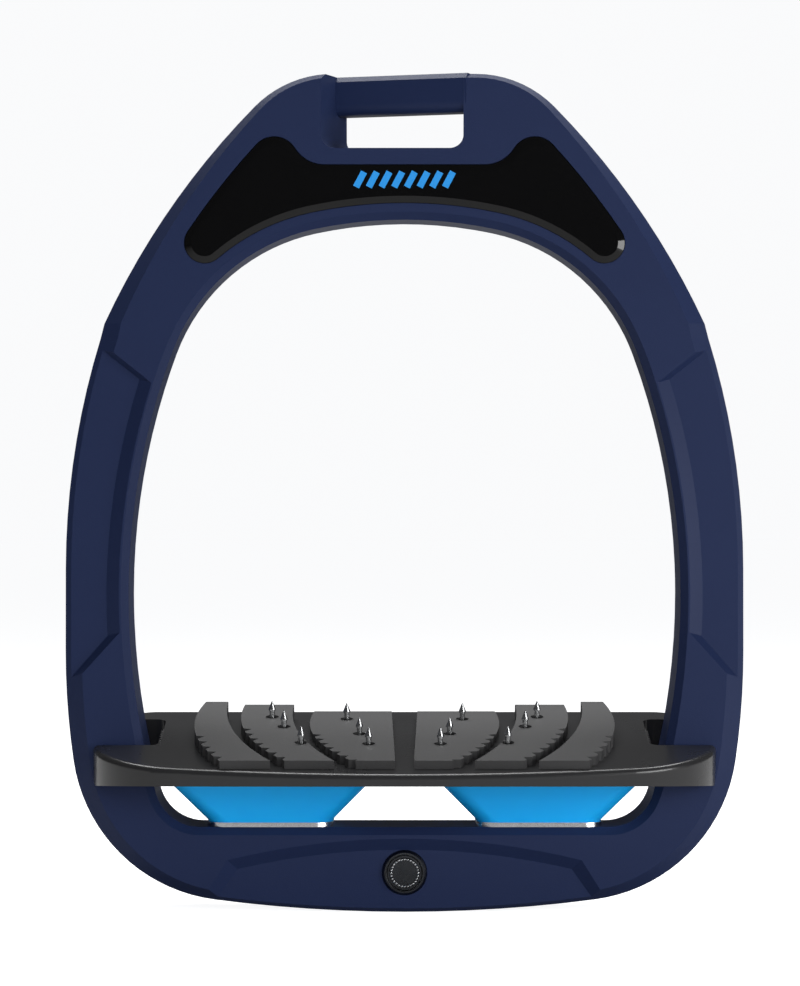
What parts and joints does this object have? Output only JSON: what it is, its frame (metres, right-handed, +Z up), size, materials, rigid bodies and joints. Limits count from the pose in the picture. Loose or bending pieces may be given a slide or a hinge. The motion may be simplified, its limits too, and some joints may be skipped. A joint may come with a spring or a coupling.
{
  "type": "stirrup iron",
  "caption": "Jumping stirrup with a one-piece arched frame, a skewed leather eye, and an inclined studded tread sprung on elastomer blocks.",
  "frame": {"origin": "middle of the underside of the eye bar, where the stirrup leather pulls; the frame is symmetric about the YZ plane except for the skewed eye", "axes": "+Z up along the leather's pull, +X to the right as the front is seen, the front and the low edge of the tread face -Y"},
  "size_m": [0.1552, 0.0607, 0.192],
  "materials": {
    "frame_composite": "satin navy moulded composite with a fine grain",
    "gloss_inlay": "high-gloss black inlay",
    "tread_gloss": "gloss black moulding, slightly worn on top",
    "pad_matte": "matte dark grey, finely textured",
    "elastomer": "bright blue elastomer",
    "bumper_rubber": "black rubber with ribs",
    "stud_steel": "turned stainless steel",
    "screw_steel": "socket screw steel",
    "steel": "plain steel",
    "seat_metal": "bright aluminium plate",
    "badge_metal": "gunmetal finish",
    "magnet_metal": "nickel-plated magnet",
    "bush_plastic": "natural low-friction plastic",
    "insert_brass": "knurled brass"
  },
  "bodies": {
    "frame": {"frame": "frame_composite", "front_arch_panel": "gloss_inlay", "rear_arch_panel": "gloss_inlay", "badge_keeper": "steel", "seat_plate_right": "seat_metal", "seat_plate_left": "seat_metal", "elastomer_right": "elastomer", "elastomer_left": "elastomer"},
    "guide_bushes": {"guide_bush_right": "bush_plastic", "guide_bush_left": "bush_plastic"},
    "tread": {"tread_plate": "tread_gloss", "tread_screw_right": "screw_steel", "screw_washer_right": "steel", "tread_insert_right": "insert_brass", "leg_bumper_right": "bumper_rubber", "grip_pad_outer_right": "pad_matte", "grip_pad_middle_right": "pad_matte", "grip_pad_inner_right": "pad_matte", "tread_screw_left": "screw_steel", "screw_washer_left": "steel", "tread_insert_left": "insert_brass", "leg_bumper_left": "bumper_rubber", "grip_pad_outer_left": "pad_matte", "grip_pad_middle_left": "pad_matte", "grip_pad_inner_left": "pad_matte", "stud_01": "stud_steel", "stud_02": "stud_steel", "stud_03": "stud_steel", "stud_04": "stud_steel", "stud_05": "stud_steel", "stud_06": "stud_steel", "stud_07": "stud_steel", "stud_08": "stud_steel", "stud_09": "stud_steel", "stud_10": "stud_steel", "stud_11": "stud_steel", "stud_12": "stud_steel"},
    "badge": {"badge_cap": "badge_metal", "badge_magnet": "magnet_metal"}
  },
  "joints": [
    {"name": "tread_pitch", "type": "hinge", "parent": "frame", "child": "guide_bushes", "pos_m": [0, 0, -0.1678], "axis": [1, 0, 0], "range_deg": [-1.5, 1.5], "stiffness_Nm_per_rad": 60, "deforming": ["elastomer_right", "elastomer_left"]},
    {"name": "tread_press", "type": "slide", "parent": "guide_bushes", "child": "tread", "axis": [0, 0, 1], "range_m": [-0.002, 0], "stiffness_N_per_m": 100000, "deforming": ["elastomer_right", "elastomer_left"]},
    {"name": "badge_pull", "type": "slide", "parent": "frame", "child": "badge", "axis": [0, -1, 0], "range_m": [0, 0.02]}
  ]
}
